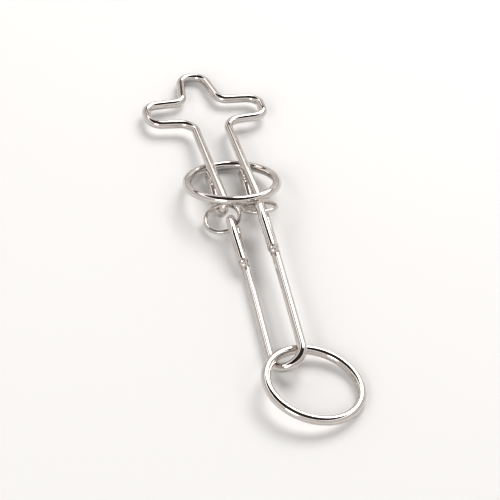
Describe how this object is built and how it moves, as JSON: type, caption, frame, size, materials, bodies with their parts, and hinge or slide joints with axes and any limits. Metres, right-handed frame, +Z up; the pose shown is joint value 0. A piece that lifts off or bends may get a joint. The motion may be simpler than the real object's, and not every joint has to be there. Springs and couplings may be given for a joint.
{
  "type": "metal ring disentanglement puzzle",
  "caption": "Bent-wire disentanglement puzzle: cross-headed frame linked by small rings to a long U shackle, with a loose ring on the frame and an end ring.",
  "frame": {"origin": "centre of the whole puzzle's footprint, on the table it lies on", "axes": "+Y along the puzzle from the end ring to the cross, +Z up from the table, +X to the right with the cross away from the viewer"},
  "size_m": [0.0438, 0.173, 0.0133],
  "materials": {
    "frame_wire": "bright nickel plate on steel wire",
    "ring_wire": "bright nickel plate on steel wire",
    "link_wire": "bright nickel plate on steel wire",
    "braze": "plated braze filler, slightly rough"
  },
  "bodies": {
    "cross_frame": {"cross_frame": "frame_wire", "frame_braze_left": "braze", "frame_braze_right": "braze"},
    "sliding_ring": {"sliding_ring": "ring_wire"},
    "link_left": {"link_ring_left": "link_wire"},
    "link_right": {"link_ring_right": "link_wire"},
    "shackle": {"shackle": "frame_wire", "shackle_braze_left": "braze", "shackle_braze_right": "braze"},
    "end_ring": {"end_ring": "ring_wire"}
  },
  "joints": [
    {"name": "sliding_ring_slide", "type": "slide", "parent": "cross_frame", "child": "sliding_ring", "axis": [0, 0.9974, -0.0726], "range_m": [0, 0.02]},
    {"name": "link_left_swing", "type": "hinge", "parent": "cross_frame", "child": "link_left", "pos_m": [-0.00635, 0.01363, 0.00438], "axis": [0.9995, -0.0309, 0.0023], "range_deg": [0, 90]},
    {"name": "link_right_swing", "type": "hinge", "parent": "cross_frame", "child": "link_right", "pos_m": [0.00525, 0.01327, 0.00441], "axis": [0.9995, -0.0309, 0.0023], "range_deg": [0, 90]},
    {"name": "shackle_fold", "type": "hinge", "parent": "link_left", "child": "shackle", "pos_m": [-0.00478, 0.00292, 0.00387], "axis": [0.8559, -0.0018, 0.5171], "range_deg": [0, 80]},
    {"name": "end_ring_swing", "type": "hinge", "parent": "shackle", "child": "end_ring", "pos_m": [-0.00294, -0.05668, 0.00462], "axis": [0.9237, 0.3493, -0.1574], "range_deg": [-15, 150]}
  ],
  "couplings": [
    {"joint": "link_right_swing", "follows": "link_left_swing", "ratio": 1}
  ]
}
